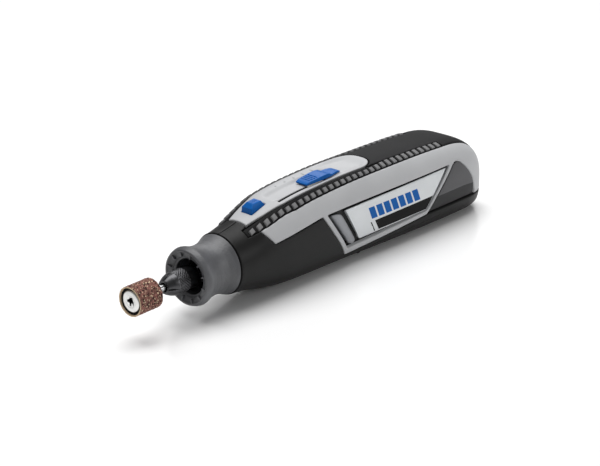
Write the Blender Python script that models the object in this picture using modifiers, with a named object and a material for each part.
"""A cordless rotary hobby tool with a sanding drum in its collet, as the pieces it comes apart into.

Sizes here are millimetres. A station is a distance behind the sanding band's front face, measured along
the spindle's axis. A height is measured up from that axis, and x is to the right of it, seen from behind.
The finished tool has its nose towards -Y and lies on z = 0, with the origin under its middle.
"""
import math

import bmesh
import bpy
from mathutils import Matrix, Vector

MM = 0.001
COLLECTION = "rotary_hobby_tool"

# Overall sizes
LENGTH = 225.0
AXIS_HEIGHT = 19.2
GAP = 0.3  # clearance between neighbouring pieces

# The body: station, half width, top, bottom, and how square the upper and lower halves are.
# Squareness is a superellipse's exponent: 2 is round and 4 is nearly a box.
BODY_SECTIONS = (
    (53.4, 14.2, 14.2, -14.2, 2.0, 2.0),
    (62.0, 14.9, 15.5, -15.0, 2.05, 2.05),
    (72.0, 15.7, 18.6, -17.2, 2.4, 2.1),
    (86.0, 16.5, 22.0, -18.9, 3.0, 2.3),
    (104.0, 16.8, 23.4, -19.5, 3.3, 2.4),
    (125.0, 17.2, 23.8, -19.5, 3.4, 2.6),
    (150.0, 18.2, 23.0, -19.5, 3.4, 3.0),
    (180.0, 19.2, 21.8, -19.5, 3.4, 3.4),
    (200.0, 19.5, 20.8, -19.5, 3.4, 3.6),
)
BODY_FRONT = 53.4
POINTS_AROUND = 32
CAVITY_POINTS_AROUND = 20
BODY_STEP = 11.0  # length of one ring of faces along the straight part
REAR_STEP = 4.3  # and round the rear end

# How the rear end closes: over what length each size shrinks, and to what share of itself
REAR_WIDTH = (18.0, 0.45)
REAR_TOP = (30.0, 0.10)
REAR_BOTTOM = (6.0, 0.75)
REAR_MID_DROP = (24.0, 9.0)  # the widest level sinks by this much

# Wall depths, measured in from the outer surface
WALL = 3.4
SKIN = 1.6  # panels and grips that are let into the wall
RECESS = SKIN + 0.35
SCREEN = (WALL + GAP, WALL + GAP + 0.6)

# Top of the body, as x and station: half outlines that are mirrored
STRIP_OUTER = ((9.6, 62.5), (10.8, 68.0), (11.9, 75.0), (13.2, 90.0), (13.2, 194.0))
PANEL_SIDE = ((5.3, 65.6), (7.3, 75.0), (9.0, 86.0), (9.2, 100.0), (9.2, 138.0))
PANEL_END = 149.5
PANEL_END_SQUARENESS = 2.4

# Side of the body, as station and height
SIDE_FRONT = ((67.7, 40.0), (67.7, 14.6), (73.9, 6.8), (104.1, 10.5), (121.2, -13.7))
SIDE_SEAM = -9.3  # level where the rear inlay and the rear band end
WINDOW = ((107.0, 10.8), (193.0, 11.4), (175.8, -7.2), (121.6, -10.2))
REAR_INLAY = ((196.5, 11.8), (200.5, 11.2), (205.8, 6.6), (210.5, 0.5), (212.8, -6.0),
              (213.4, SIDE_SEAM), (177.6, SIDE_SEAM))
VANE = ((109.8, 10.2), (117.4, 9.0), (127.2, -7.8), (122.6, -9.2))
BADGE = ((119.0, 9.2), (189.6, 10.2), (175.2, -6.7), (128.6, -7.4))
VENT = ((108.2, 9.4), (112.6, 9.0), (123.6, -7.6), (121.4, -8.8))

# The nose cap's bore runs over the collar's thread, and clear of anything that seats on the collar's face
CAP_BORE_R = 10.9

# Lock button and slider on the control panel
BUTTON = dict(x=3.1, front=71.6, back=80.4, top=22.4)
LOCK_STATION = 76.0
LOCK_PIN_R = 1.1
LOCK_COLLAR_R = 6.0
LOCK_HOLE_R = 1.5
SPRING_R = 2.0
KNOB = dict(left=-1.0, right=6.7, front=104.5, step=121.0, back=128.5, bottom=22.9, top=25.0, tail=24.0)
TRAY = dict(left=-2.2, right=7.7, front=85.0, back=131.0, floor=22.6)
SLOT_X = 5.8
SLOT_HALF = 0.6

# Screws through the hidden left shell: station and height
HOUSING_SCREWS = ((67.6, -8.5), (97.0, -13.8), (134.0, -14.4), (213.0, -13.2))


def mm(x, station, height):
    """A place in the tool's own measures, as a point of the finished part in metres."""
    return Vector((x, station - LENGTH / 2, height + AXIS_HEIGHT)) * MM


# ---------------------------------------------------------------- scene, materials

def clear_scene():
    for obj in list(bpy.data.objects):
        bpy.data.objects.remove(obj, do_unlink=True)


def collection(name):
    made = bpy.data.collections.new(name)
    bpy.context.scene.collection.children.link(made)
    return made


def material(name, colour, roughness, metallic=0.0):
    made = bpy.data.materials.new(name)
    made.use_nodes = True
    shader = made.node_tree.nodes["Principled BSDF"]
    shader.inputs["Base Color"].default_value = (*colour, 1.0)
    shader.inputs["Roughness"].default_value = roughness
    shader.inputs["Metallic"].default_value = metallic
    return made


FINISHES = {
    "black_nylon": ((0.024, 0.024, 0.025), 0.42, 0.0),
    "grey_nylon": ((0.45, 0.45, 0.46), 0.45, 0.0),
    "soft_grip": ((0.05, 0.05, 0.05), 0.7, 0.0),
    "dark_inlay": ((0.08, 0.08, 0.08), 0.4, 0.0),
    "cap_nylon": ((0.08, 0.08, 0.085), 0.6, 0.0),
    "blue_plastic": ((0.004, 0.11, 0.47), 0.35, 0.0),
    "satin_silver": ((0.6, 0.6, 0.62), 0.3, 1.0),
    "black_oxide": ((0.03, 0.03, 0.032), 0.35, 0.9),
    "steel": ((0.62, 0.62, 0.62), 0.25, 1.0),
    "spring_steel": ((0.5, 0.5, 0.5), 0.3, 1.0),
    "drum_rubber": ((0.03, 0.03, 0.03), 0.8, 0.0),
    "abrasive": ((0.25, 0.08, 0.05), 0.9, 0.0),
    "copper_windings": ((0.6, 0.25, 0.12), 0.4, 1.0),
    "nickel": ((0.66, 0.62, 0.55), 0.3, 1.0),
    "cell_wrap": ((0.02, 0.18, 0.12), 0.4, 0.0),
    "board_green": ((0.01, 0.12, 0.05), 0.5, 0.0),
    "white_nylon": ((0.7, 0.7, 0.68), 0.5, 0.0),
    "clear_lens": ((0.8, 0.85, 0.8), 0.1, 0.0),
}


class Workshop:
    """Where the pieces and the cutters are kept while the tool is built."""

    def __init__(self):
        self.parts = collection(COLLECTION)
        self.cutters = collection("cutters")
        self.materials = {name: material(name, *finish) for name, finish in FINISHES.items()}

    def part(self, name, mesh, finish, origin=None):
        """Adds a piece. Its mesh is in metres, and its origin is moved to the given point."""
        origin = Vector((0, 0, 0)) if origin is None else origin
        mesh.transform(Matrix.Translation(-origin))
        obj = bpy.data.objects.new(name, mesh)
        obj.location = origin
        obj.data.materials.append(self.materials[finish])
        self.parts.objects.link(obj)
        return obj

    def cutter(self, name, mesh):
        obj = bpy.data.objects.new(name, mesh)
        obj.hide_render = True
        obj.display_type = "WIRE"
        self.cutters.objects.link(obj)
        return obj


def cut(obj, other, operation="DIFFERENCE"):
    modifier = obj.modifiers.new(operation.title(), "BOOLEAN")
    modifier.operation = operation
    modifier.object = other
    modifier.solver = "EXACT"
    return obj


def applied(obj):
    """The object's evaluated mesh, as a new mesh in place of its modifiers."""
    bpy.context.view_layer.update()
    graph = bpy.context.evaluated_depsgraph_get()
    return bpy.data.meshes.new_from_object(obj.evaluated_get(graph), depsgraph=graph)


def mesh_of(bm, name):
    bmesh.ops.recalc_face_normals(bm, faces=bm.faces)
    mesh = bpy.data.meshes.new(name)
    bm.to_mesh(mesh)
    bm.free()
    return mesh


# ---------------------------------------------------------------- the body's shape

def smooth_column(station, column):
    """One size of the body at a station, on a smooth curve through BODY_SECTIONS."""
    stations = [row[0] for row in BODY_SECTIONS]
    values = [row[column] for row in BODY_SECTIONS]
    if station <= stations[0]:
        return values[0]
    if station >= stations[-1]:
        return values[-1]
    i = max(k for k in range(len(stations) - 1) if stations[k] <= station)
    slopes = [(values[k + 1] - values[k]) / (stations[k + 1] - stations[k]) for k in range(len(values) - 1)]

    def tangent(k):
        if k == 0 or k == len(values) - 1 or slopes[k - 1] * slopes[k] <= 0:
            return 0.0
        return 2 * slopes[k - 1] * slopes[k] / (slopes[k - 1] + slopes[k])

    width = stations[i + 1] - stations[i]
    s = (station - stations[i]) / width
    return ((2 * s**3 - 3 * s**2 + 1) * values[i] + (s**3 - 2 * s**2 + s) * width * tangent(i)
            + (3 * s**2 - 2 * s**3) * values[i + 1] + (s**3 - s**2) * width * tangent(i + 1))


def closing(station, end, length):
    """1 along the body, falling to 0 at the rear end on a quarter circle."""
    u = min(1.0, max(0.0, (station - end + length) / length))
    return math.sqrt(1 - u * u)


def body_section(station, inset):
    """Half width, top, widest level, bottom and the two exponents at a station, inset from the surface."""
    width, top, bottom, upper, lower = (smooth_column(station, k) for k in range(1, 6))
    end = LENGTH - inset
    mid = -REAR_MID_DROP[1] * (1 - closing(station, end, REAR_MID_DROP[0]))

    def share(rule):
        return rule[1] + (1 - rule[1]) * closing(station, end, rule[0])

    top = mid + (top - mid) * share(REAR_TOP) - inset
    bottom = max(mid + (bottom - mid) * share(REAR_BOTTOM), -AXIS_HEIGHT - GAP) + inset
    return width * share(REAR_WIDTH) - inset, top, mid, bottom, upper, lower


def body_ring(station, inset, around):
    """One closed outline of the body. The underside is flat at the level that the tool lies on."""
    width, top, mid, bottom, upper, lower = body_section(station, inset)
    ring = []
    for k in range(around):
        angle = 2 * math.pi * k / around
        c, s = math.cos(angle), math.sin(angle)
        power = 2 / (upper if s >= 0 else lower)
        reach = top - mid if s >= 0 else mid - bottom
        height = mid + math.copysign(abs(s) ** power, s) * reach
        ring.append(mm(math.copysign(abs(c) ** power, c) * width, station, max(height, -AXIS_HEIGHT + inset)))
    return ring


def body_stations(front, inset):
    """Ring places: even along the body, closer together round the rear end."""
    end = LENGTH - inset
    bend = end - REAR_TOP[0] + 4
    count = round((bend - front) / BODY_STEP)
    straight = [front + (bend - front) * k / count for k in range(count)]
    turns = round(REAR_TOP[0] / REAR_STEP)
    return straight + [bend + (end - bend) * math.sin(math.pi / 2 * k / turns) for k in range(turns + 1)]


def body_solid(name, inset=0.0, front=BODY_FRONT, around=POINTS_AROUND):
    """The body as a closed solid, a loft through its changing outline."""
    bm = bmesh.new()
    rings = [[bm.verts.new(p) for p in body_ring(s, inset, around)] for s in body_stations(front, inset)]
    for near, far in zip(rings, rings[1:]):
        for k in range(around):
            n = (k + 1) % around
            bm.faces.new((near[k], near[n], far[n], far[k]))
    bm.faces.new(rings[0])
    bm.faces.new(rings[-1])
    bmesh.ops.triangulate(bm, faces=bm.faces)
    return mesh_of(bm, name)


# ---------------------------------------------------------------- simple shapes

def grown(outline, by):
    """A flat outline moved outwards by a distance, or inwards if it is negative."""
    points = [Vector(p) for p in outline]
    area = sum(a.x * b.y - b.x * a.y for a, b in zip(points, points[1:] + points[:1]))
    side = 1 if area > 0 else -1
    moved = []
    for k, point in enumerate(points):
        before = (point - points[k - 1]).normalized()
        after = (points[(k + 1) % len(points)] - point).normalized()
        out = Vector((before.y, -before.x)) + Vector((after.y, -after.x))
        moved.append(point + side * by * out * 2 / out.length_squared)
    return moved


def prism(name, outline, place, low, high):
    """A flat outline pushed from low to high. place(a, b, depth) gives each corner's point."""
    bm = bmesh.new()
    face = bm.faces.new([bm.verts.new(place(a, b, low)) for a, b in outline])
    made = bmesh.ops.extrude_face_region(bm, geom=[face])
    ends = [v for v in made["geom"] if isinstance(v, bmesh.types.BMVert)]
    a, b = outline[0]
    bmesh.ops.translate(bm, verts=ends, vec=place(a, b, high) - place(a, b, low))
    return mesh_of(bm, name)


def from_above(name, outline, low, high):
    """A prism whose outline is given as x and station."""
    return prism(name, outline, lambda x, s, z: mm(x, s, z), low, high)


def from_side(name, outline, side, low, high):
    """A prism on one side of the tool, whose outline is given as station and height."""
    return prism(name, outline, lambda s, z, x: mm(side * x, s, z), low, high)


def along(name, outline, front, back):
    """A prism along the tool, whose outline is given as x and height."""
    return prism(name, outline, lambda x, z, s: mm(x, s, z), front, back)


def block(name, x, station, height):
    """A box between pairs of limits."""
    return from_above(name, [(x[0], station[0]), (x[1], station[0]), (x[1], station[1]), (x[0], station[1])],
                      *height)


def mirrored(half):
    """A whole outline across x = 0 from its right half, which runs front to back."""
    return list(half) + [(-x, s) for x, s in reversed(half)]


def rod(name, radius, start, end, sides=16):
    """A cylinder between two points in metres."""
    start, end = Vector(start), Vector(end)
    bm = bmesh.new()
    bmesh.ops.create_cone(bm, cap_ends=True, segments=sides, radius1=radius * MM, radius2=radius * MM,
                          depth=(end - start).length)
    turn = Vector((0, 0, 1)).rotation_difference(end - start).to_matrix().to_4x4()
    bmesh.ops.transform(bm, matrix=Matrix.Translation((start + end) / 2) @ turn, verts=bm.verts)
    return mesh_of(bm, name)


def turned(shop, name, finish, profile, sides=24, hollow=False):
    """A piece turned about the spindle's axis.

    The profile is radius and station, front to back along the outside. A solid profile starts and ends on
    the axis, with a blind bore ahead of its outside, and a hollow one comes back along its bore.
    """
    front = profile[0][1]
    mesh = bpy.data.meshes.new(name)
    points = [(r * MM, 0, (s - front) * MM) for r, s in reversed(profile)]
    edges = [(k, k + 1) for k in range(len(points) - 1)]
    if hollow:
        edges.append((len(points) - 1, 0))
    mesh.from_pydata(points, edges, [])
    obj = bpy.data.objects.new(name, mesh)
    obj.rotation_euler = (-math.pi / 2, 0, 0)
    obj.location = mm(0, front, 0)
    screw = obj.modifiers.new("Turn", "SCREW")
    screw.axis = "Z"
    screw.angle = 2 * math.pi
    screw.steps = screw.render_steps = sides
    screw.use_merge_vertices = True
    screw.merge_threshold = 1e-5
    obj.data.materials.append(shop.materials[finish])
    shop.parts.objects.link(obj)
    return obj


def sleeve(shop, name, finish, stations, radii, sides=24):
    """A plain ring: front and back stations, inner and outer radii."""
    (front, back), (inner, outer) = stations, radii
    profile = [(outer, front), (outer, back), (inner, back), (inner, front)]
    return turned(shop, name, finish, profile, sides, hollow=True)


# ---------------------------------------------------------------- sanding drum

def sanding_drum(shop):
    """The accessory: a mandrel that carries a rubber drum, an abrasive band and the screw that swells it."""
    sleeve(shop, "sanding_band", "abrasive", (0.0, 12.9), (6.05, 6.7), 32)
    sleeve(shop, "rubber_drum", "drum_rubber", (1.6, 12.6), (2.5, 5.75))
    sleeve(shop, "drum_washer", "steel", (12.9 + GAP / 2, 13.7), (2.5, 5.2), 20)
    turned(shop, "mandrel", "steel",
           [(0.0, 10.5), (1.4, 10.5), (1.4, 2.2), (2.15, 2.2), (2.15, 14.0), (3.2, 14.0), (3.2, 14.9),
            (1.6, 15.4), (1.6, 41.0), (0.0, 41.0)], 18)
    screw = turned(shop, "drum_screw", "steel",
                   [(0.0, 0.25), (3.4, 0.25), (4.5, 0.45), (4.9, 0.8), (4.9, 1.3), (1.1, 1.3), (1.1, 9.6),
                    (0.0, 9.6)], 20)
    for k, size in enumerate(((2.6, 0.7), (0.7, 2.6))):
        arm = block(f"drive_arm_{k}", (-size[0] / 2, size[0] / 2), (-1.0, 0.85), (-size[1] / 2, size[1] / 2))
        cut(screw, shop.cutter(f"drive_arm_{k}", arm))


# ---------------------------------------------------------------- collet and spindle

def spindle_and_collet(shop):
    turned(shop, "collet_nut", "black_oxide",
           [(2.1, 19.8), (3.2, 19.8), (4.6, 22.6), (5.3, 24.6), (5.3, 31.0), (5.0, 31.3), (5.0, 36.4),
            (3.8, 36.4), (3.8, 30.2), (2.7, 28.6), (2.1, 22.0)], 24, hollow=True)
    collet = turned(shop, "collet", "steel",
                    [(1.75, 23.0), (1.9, 23.0), (2.35, 27.4), (2.35, 41.2), (1.75, 41.2)], 18, hollow=True)
    cut(collet, shop.cutter("collet_slit", block("collet_slit", (-0.2, 0.2), (20.0, 36.0), (-4.0, 4.0))))
    shaft = turned(shop, "spindle_shaft", "steel",
                   [(0.0, 42.6), (2.65, 42.6), (2.65, 30.8), (3.5, 30.8), (3.5, 37.2), (4.6, 37.2),
                    (4.6, 43.0), (3.0, 43.0), (3.0, 71.2), (LOCK_COLLAR_R, 71.2), (LOCK_COLLAR_R, 79.2),
                    (3.0, 79.2), (3.0, 95.4), (0.0, 95.4)])
    for k, (dx, dz) in enumerate(((1, 0), (0, 1), (-1, 0), (0, -1))):
        inner, outer = (mm(dx * r, LOCK_STATION, dz * r) for r in (3.4, LOCK_COLLAR_R + 1))
        cut(shaft, shop.cutter(f"lock_hole_{k}", rod(f"lock_hole_{k}", LOCK_HOLE_R, inner, outer, 12)))
    sleeve(shop, "cooling_fan_hub", "white_nylon", (86.2, 90.8), (3.0 + GAP, 4.6), 24)
    sleeve(shop, "drive_coupling", "white_nylon", (93.2, 99.8), (3.0 + GAP, 5.0), 24)
    sleeve(shop, "front_bearing", "steel", (59.0, 64.0), (3.0 + GAP, 7.5))
    sleeve(shop, "rear_bearing", "steel", (80.6, 84.6), (3.0 + GAP, 7.5))
    sleeve(shop, "bearing_bush", "soft_grip", (59.2, 63.8), (7.5 + GAP, 9.4))


def fan(shop):
    """The fan's blades are drawn into its hub, so that the wheel is one piece."""
    hub = bpy.data.objects["cooling_fan_hub"]
    hub.name = "cooling_fan"
    count = 7
    for k in range(count):
        blade = block(f"fan_blade_{k}", (-0.4, 0.4), (86.6, 90.4), (4.2, 10.6))
        twist = Matrix.Rotation(math.radians(28), 4, "Z")
        middle = Matrix.Translation(mm(0, 88.5, 0))
        turn = Matrix.Rotation(2 * math.pi * k / count, 4, "Y")
        blade.transform(middle @ turn @ twist @ middle.inverted())
        cut(hub, shop.cutter(f"fan_blade_{k}", blade), "UNION")


# ---------------------------------------------------------------- nose

def nose(shop):
    turned(shop, "nose_cap", "cap_nylon",
           [(8.1, 35.2), (11.7, 33.0), (13.3, 34.9), (13.5, 35.9), (13.1, 37.2), (12.3, 39.6), (11.8, 42.6),
            (11.7, 45.0), (12.1, 48.2), (13.0, 51.2), (13.9, 53.1), (CAP_BORE_R, 53.1), (CAP_BORE_R, 41.5),
            (8.1, 38.6)], 28, hollow=True)
    sleeve(shop, "nose_collar", "black_nylon", (45.6, 53.0), (8.2, CAP_BORE_R - 0.35), 28)


# ---------------------------------------------------------------- motor, battery, electrics

def drive(shop):
    can = turned(shop, "motor_can", "steel",
                 [(2.9, 102.0), (11.4, 102.0), (12.1, 102.8), (12.1, 127.8), (11.3, 127.8), (11.3, 103.0),
                  (2.9, 103.0)], hollow=True)
    for side in (-1, 1):
        slot = block(f"can_slot_{side}", (side * 6.0, side * 14.0), (106.0, 112.0), (-2.5, 2.5))
        cut(can, shop.cutter(f"can_slot_{side}", slot))
    sleeve(shop, "motor_magnet_ring", "black_oxide", (104.6, 126.0), (9.6, 11.0), 20)
    turned(shop, "motor_rotor", "copper_windings",
           [(0.0, 95.8), (1.6, 95.8), (1.6, 104.4), (5.5, 105.4), (9.1, 106.4), (9.1, 123.0), (5.0, 124.4),
            (2.6, 124.8), (2.6, 127.4), (1.2, 127.4), (1.2, 131.6), (0.0, 131.6)], 20)
    turned(shop, "motor_end_bell", "white_nylon",
           [(3.2, 128.1), (11.3, 128.1), (11.3, 130.4), (4.2, 132.6), (1.5, 132.6), (1.5, 129.6), (3.2, 129.6)],
           20, hollow=True)
    turned(shop, "battery_cell", "cell_wrap",
           [(0.0, 138.4), (3.0, 138.4), (3.0, 139.6), (8.6, 139.6), (9.1, 140.2), (9.1, 203.0), (8.6, 203.6),
            (0.0, 203.6)], 24)
    for name, front in (("battery_tab_front", 137.4), ("battery_tab_rear", 203.9)):
        shop.part(name, block(name, (-4.0, 4.0), (front, front + 0.6), (-4.0, 9.0)), "nickel")
    shop.part("circuit_board", block("circuit_board", (-8.4, 8.4), (90.5, 137.0), (12.7, 13.9)), "board_green")
    shop.part("speed_switch_block", block("speed_switch_block", (0.8, 8.2), (87.6, 119.0), (14.2, 15.2)),
              "white_nylon")


def charging_port(shop, shells):
    """The socket at the rear end and the lens of the charge light beside it."""
    level = -11.4
    outer = block("usb_outer", (-4.2, 4.2), (217.0, 224.4), (level - 1.8, level + 1.8))
    socket = shop.part("charging_socket", outer, "steel")
    mouth = block("usb_mouth", (-3.5, 3.5), (219.0, 226.0), (level - 1.1, level + 1.1))
    cut(socket, shop.cutter("usb_mouth", mouth))
    pocket = block("usb_pocket", (-4.5, 4.5), (215.0, 227.0), (level - 2.1, level + 2.1))
    lens_hole = rod("lens_hole", 1.4, mm(6.6, 212.0, level), mm(6.6, 227.0, level), 12)
    shop.part("charge_light_lens", rod("charge_light_lens", 1.1, mm(6.6, 219.0, level),
                                       mm(6.6, 224.8, level), 12), "clear_lens")
    for side, shell in shells.items():
        cut(shell, shop.cutter(f"usb_pocket_{side}", pocket.copy()))
    cut(shells["right"], shop.cutter("lens_hole", lens_hole))


# ---------------------------------------------------------------- outer shells and panels

def panel_outline():
    """The control panel seen from above: straight sides and a rounded rear end."""
    x, start = PANEL_SIDE[-1]
    steps = 8
    half = list(PANEL_SIDE)
    for k in range(1, steps):
        u = math.pi / 2 * k / steps
        half.append((x * math.cos(u) ** (2 / PANEL_END_SQUARENESS),
                     start + (PANEL_END - start) * math.sin(u) ** (2 / PANEL_END_SQUARENESS)))
    return half + [(0.0, PANEL_END)] + [(-x, s) for x, s in reversed(half)]


def strip_outline():
    """The right rib strip seen from above, between the panel and the side panel."""
    inner = [(6.0, 62.5)] + [(x + 0.4, s) for x, s in PANEL_SIDE[1:-1]] + [(9.6, 194.0)]
    return list(STRIP_OUTER) + inner[::-1]


def rear_grip_outline():
    """The rear grip seen from above, hollowed in front to fit round the control panel's end."""
    x = STRIP_OUTER[-1][0]
    steps = 8
    start = PANEL_SIDE[-1][1]
    hollow = []
    for k in range(2, steps):
        u = math.pi / 2 * k / steps
        hollow.append((9.6 * math.cos(u) ** (2 / PANEL_END_SQUARENESS),
                       start + (PANEL_END + 0.4 - start) * math.sin(u) ** (2 / PANEL_END_SQUARENESS)))
    half = hollow[::-1] + [(9.6, hollow[0][1]), (9.6, 194.3), (x, 194.3), (x, 228.0)]
    return [(0.0, PANEL_END + 0.4)] + half + [(-px, s) for px, s in reversed(half)]


def side_outline():
    """The right side panel's outline, with the rear inlay's place left out of it."""
    arch = list(REAR_INLAY)
    return (list(SIDE_FRONT) + [(175.9, SIDE_SEAM)] + arch[:-1]
            + [(228.0, SIDE_SEAM), (228.0, 40.0)])


def recess_side_outline():
    return list(SIDE_FRONT) + [(175.9, SIDE_SEAM), (228.0, SIDE_SEAM), (228.0, 40.0)]


def recess_top_outline():
    return mirrored([(5.7, 65.3), (5.9, 62.5)] + list(STRIP_OUTER[:-1]) + [(13.2, 228.0)])


def skin_piece(shop, name, finish, inside, outside=(), depths=(0.0, SKIN)):
    """A piece of the body's outer skin: inside every prism of one list and outside those of the other."""
    obj = shop.part(name, body_solid(name, depths[0]), finish)
    for region in inside:
        cut(obj, region, "INTERSECT")
    core = shop.cutter(f"core_of_{name}", body_solid(f"core_of_{name}", depths[1], BODY_FRONT - 4))
    cut(obj, core)
    for region in outside:
        cut(obj, region)
    return obj


def top_band(shop, name, by):
    """The region between the strips' outer edges, seen from above, grown by a distance."""
    outline = grown(mirrored(list(STRIP_OUTER[:-1]) + [(13.2, 230.0)]), by)
    return shop.cutter(name, from_above(name, outline, -20.0, 40.0))


def shells(shop):
    """The two halves of the housing, let in where the panels, strips and grips lie."""
    recess = shop.cutter("recess_top", from_above("recess_top", grown(recess_top_outline(), GAP / 2), -6.0, 40.0))
    for side in (-1, 1):
        mesh = from_side(f"recess_side_{side}", grown(recess_side_outline(), GAP / 2), side, 9.0, 40.0)
        cut(recess, shop.cutter(f"recess_side_{side}", mesh), "UNION")
    core = shop.cutter("recess_core", body_solid("recess_core", RECESS, BODY_FRONT - 4))
    cut(recess, core)
    recess_mesh = applied(recess)
    made = {}
    for name, side in (("left", -1), ("right", 1)):
        shell = shop.part(f"housing_{name}", body_solid(f"housing_{name}"), "black_nylon")
        cavity = body_solid(f"cavity_{name}", WALL, BODY_FRONT + WALL, CAVITY_POINTS_AROUND)
        cut(shell, shop.cutter(f"cavity_{name}", cavity))
        cut(shell, shop.cutter(f"recess_{name}", recess_mesh.copy()))
        made[name] = shell
        far = sorted((side * GAP / 2, -side * 40.0))
        half = block(f"half_{name}", far, (40.0, 240.0), (-40.0, 40.0))
        bore = rod(f"nose_bore_{name}", 8.0, mm(0, 50.0, 0), mm(0, 58.0, 0), 32)
        vent = from_side(f"vent_{name}", VENT, side, 9.0, 40.0)
        for region in (half, bore, vent):
            cut(shell, shop.cutter(region.name, region))
    return made


def controls_openings(shop, shell_halves):
    """Holes through the top of the shells for the lock button and the slider's blade."""
    well = button_well("button_well", GAP)
    slot = slot_block("slot_hole", SLOT_HALF + 0.3)
    for side, shell in shell_halves.items():
        cut(shell, shop.cutter(f"button_well_{side}", well.copy()))
    cut(shell_halves["right"], shop.cutter("slot_hole", slot))


def button_well(name, gap):
    x = BUTTON["x"] + gap
    return block(name, (-x, x), (BUTTON["front"] - gap, BUTTON["back"] + gap), (10.0, 40.0))


def slot_block(name, half):
    return block(name, (SLOT_X - half, SLOT_X + half), (86.4, 118.2), (10.0, 40.0))


def panels(shop):
    top_region = shop.cutter("panel_region", from_above("panel_region", grown(panel_outline(), -GAP / 2),
                                                        0.0, 40.0))
    panel = skin_piece(shop, "control_panel", "grey_nylon", [top_region])
    button_hole = button_well("button_hole", GAP)
    tray = block("slider_tray", (TRAY["left"], TRAY["right"]), (TRAY["front"], TRAY["back"]),
                 (TRAY["floor"], 40.0))
    for mesh in (button_hole, tray, slot_block("panel_slot", SLOT_HALF)):
        cut(panel, shop.cutter(mesh.name, mesh))
    grip_region = shop.cutter("grip_region", from_above("grip_region", grown(rear_grip_outline(), -GAP / 2),
                                                        -5.7, 40.0))
    skin_piece(shop, "rear_grip", "soft_grip", [grip_region])
    band = top_band(shop, "band_region", GAP / 2)
    for name, side in (("left", -1), ("right", 1)):
        outline = [(side * x, s) for x, s in grown(strip_outline(), -GAP / 2)]
        region = shop.cutter(f"strip_region_{name}", from_above(f"strip_region_{name}", outline, 4.0, 40.0))
        skin_piece(shop, f"grip_strip_{name}", "soft_grip", [region])
        region = from_side(f"side_region_{name}", grown(side_outline(), -GAP / 2), side, 7.0, 40.0)
        window = from_side(f"window_{name}", WINDOW, side, 7.0, 40.0)
        skin_piece(shop, f"side_panel_{name}", "grey_nylon", [shop.cutter(region.name, region)],
                   [shop.cutter(window.name, window), band])
        pieces = (("rear_inlay", REAR_INLAY, "dark_inlay", (0.0, SKIN)),
                  ("badge_plate", BADGE, "satin_silver", (0.3, SKIN)),
                  ("vent_vane", VANE, "satin_silver", (0.5, SKIN)),
                  ("vent_screen", grown(VENT, 1.2), "black_oxide", SCREEN))
        for kind, shape, finish, depths in pieces:
            region = from_side(f"{kind}_region_{name}", grown(shape, -GAP / 2), side, 7.0, 40.0)
            skin_piece(shop, f"{kind}_{name}", finish, [shop.cutter(region.name, region)], depths=depths)


# ---------------------------------------------------------------- controls

def lock_button(shop):
    """The blue button, its stem and pin, and the spring that lifts them."""
    side = [(BUTTON["front"], 18.4), (BUTTON["front"] + 0.9, 21.6), (BUTTON["front"] + 2.6, BUTTON["top"]),
            (BUTTON["back"] - 1.8, BUTTON["top"] + 0.3), (BUTTON["back"], 21.4), (BUTTON["back"], 17.4),
            (BUTTON["front"], 17.4)]
    mesh = prism("lock_button", side, lambda s, z, x: mm(x, s, z), -BUTTON["x"], BUTTON["x"])
    origin = mm(0, LOCK_STATION, 17.4)
    shop.part("lock_button", mesh, "blue_plastic", origin)
    pin = rod("lock_pin", LOCK_PIN_R, mm(0, LOCK_STATION, 7.2), mm(0, LOCK_STATION, 17.1), 12)
    shop.part("lock_pin", pin, "steel", mm(0, LOCK_STATION, 7.2))
    turns, per_turn = 4, 8
    low, high = 9.8, 16.9
    curve = bpy.data.curves.new("lock_spring", "CURVE")
    curve.dimensions = "3D"
    curve.bevel_depth = 0.22 * MM
    curve.bevel_resolution = 1
    curve.use_fill_caps = True
    spline = curve.splines.new("POLY")
    spline.points.add(turns * per_turn)
    for k in range(turns * per_turn + 1):
        angle = 2 * math.pi * k / per_turn
        point = mm(SPRING_R * math.cos(angle), LOCK_STATION + SPRING_R * math.sin(angle),
                   low + (high - low) * k / (turns * per_turn))
        spline.points[k].co = (*point, 1.0)
    spring = bpy.data.objects.new("lock_spring", curve)
    spring.data.materials.append(shop.materials["spring_steel"])
    shop.parts.objects.link(spring)
    seat = sleeve(shop, "spring_seat", "black_nylon", (0.0, 0.9), (1.5, 3.4), 14)
    seat.rotation_euler = (0, 0, 0)  # it lies flat, round the upright pin
    seat.location = mm(0, LOCK_STATION, 8.4)


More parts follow.
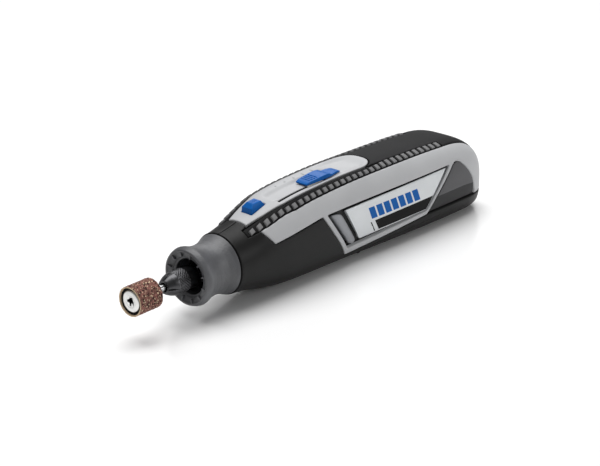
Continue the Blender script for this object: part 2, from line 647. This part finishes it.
def speed_slider(shop):
    """The blue slider above the panel and the carriage that it drives through the slot."""
    k = KNOB
    step = [(k["front"], k["bottom"]), (k["front"], k["bottom"] + 1.0), (k["front"] + 1.6, k["top"]),
            (k["step"] - 1.4, k["top"]), (k["step"], k["tail"]), (k["back"] - 0.8, k["tail"]),
            (k["back"], k["bottom"] + 0.5), (k["back"], k["bottom"])]
    mesh = prism("speed_slider", step, lambda s, z, x: mm(x, s, z), k["left"], k["right"])
    shop.part("speed_slider", mesh, "blue_plastic", mm(SLOT_X, k["front"], k["bottom"]))
    tee = [(SLOT_X - 0.3, k["bottom"] - GAP), (SLOT_X - 0.3, 16.6), (2.0, 16.6), (2.0, 15.5), (8.0, 15.5),
           (8.0, 16.6), (SLOT_X + 0.3, 16.6), (SLOT_X + 0.3, k["bottom"] - GAP)]
    shop.part("slider_carriage", along("slider_carriage", tee, 105.4, 115.4), "white_nylon",
              mm(SLOT_X, 105.4, 15.5))


# ---------------------------------------------------------------- fasteners

def housing_screws(shop, shell_halves):
    """Bosses in both shells, and the screws that go in from the left."""
    for k, (station, height) in enumerate(HOUSING_SCREWS, 1):
        reach = body_section(station, 0)[0]
        low = body_section(station, 0)[3]
        lean = abs(height / low) ** body_section(station, 0)[5]
        wall = reach * (1 - lean) ** (1 / body_section(station, 0)[5])

        def across(name, radius, start, end, sides=10):
            return rod(f"{name}_{k}", radius, mm(start, station, height), mm(end, station, height), sides)

        cut(shell_halves["left"], shop.cutter(f"boss_l_{k}", across("boss_l", 2.5, -wall + 2, -GAP / 2)), "UNION")
        cut(shell_halves["right"], shop.cutter(f"boss_r_{k}", across("boss_r", 2.5, GAP / 2, wall - 2)), "UNION")
        cut(shell_halves["left"], shop.cutter(f"head_hole_{k}", across("head_hole", 1.9, -wall - 9, -wall + 2.8)))
        cut(shell_halves["left"], shop.cutter(f"shank_hole_{k}", across("shank_hole", 1.15, -wall - 9, 3.0)))
        cut(shell_halves["right"], shop.cutter(f"pilot_{k}", across("pilot", 1.05, -3.0, 7.0)))
        screw = shop.part(f"housing_screw_{k}", across("housing_screw", 0.8, -wall + 2.0, 6.0, 8), "black_oxide",
                          mm(-wall + 2.0, station, height))
        head = across("screw_head", 1.6, -wall + 1.0, -wall + 2.5)
        cut(screw, shop.cutter(f"screw_head_{k}", head), "UNION")
        drive = across("screw_drive", 0.7, -wall, -wall + 1.6, 6)
        cut(screw, shop.cutter(f"screw_drive_{k}", drive))


def main():
    clear_scene()
    shop = Workshop()
    sanding_drum(shop)
    spindle_and_collet(shop)
    fan(shop)
    nose(shop)
    drive(shop)
    halves = shells(shop)
    controls_openings(shop, halves)
    panels(shop)
    housing_screws(shop, halves)
    charging_port(shop, halves)
    lock_button(shop)
    speed_slider(shop)


main()
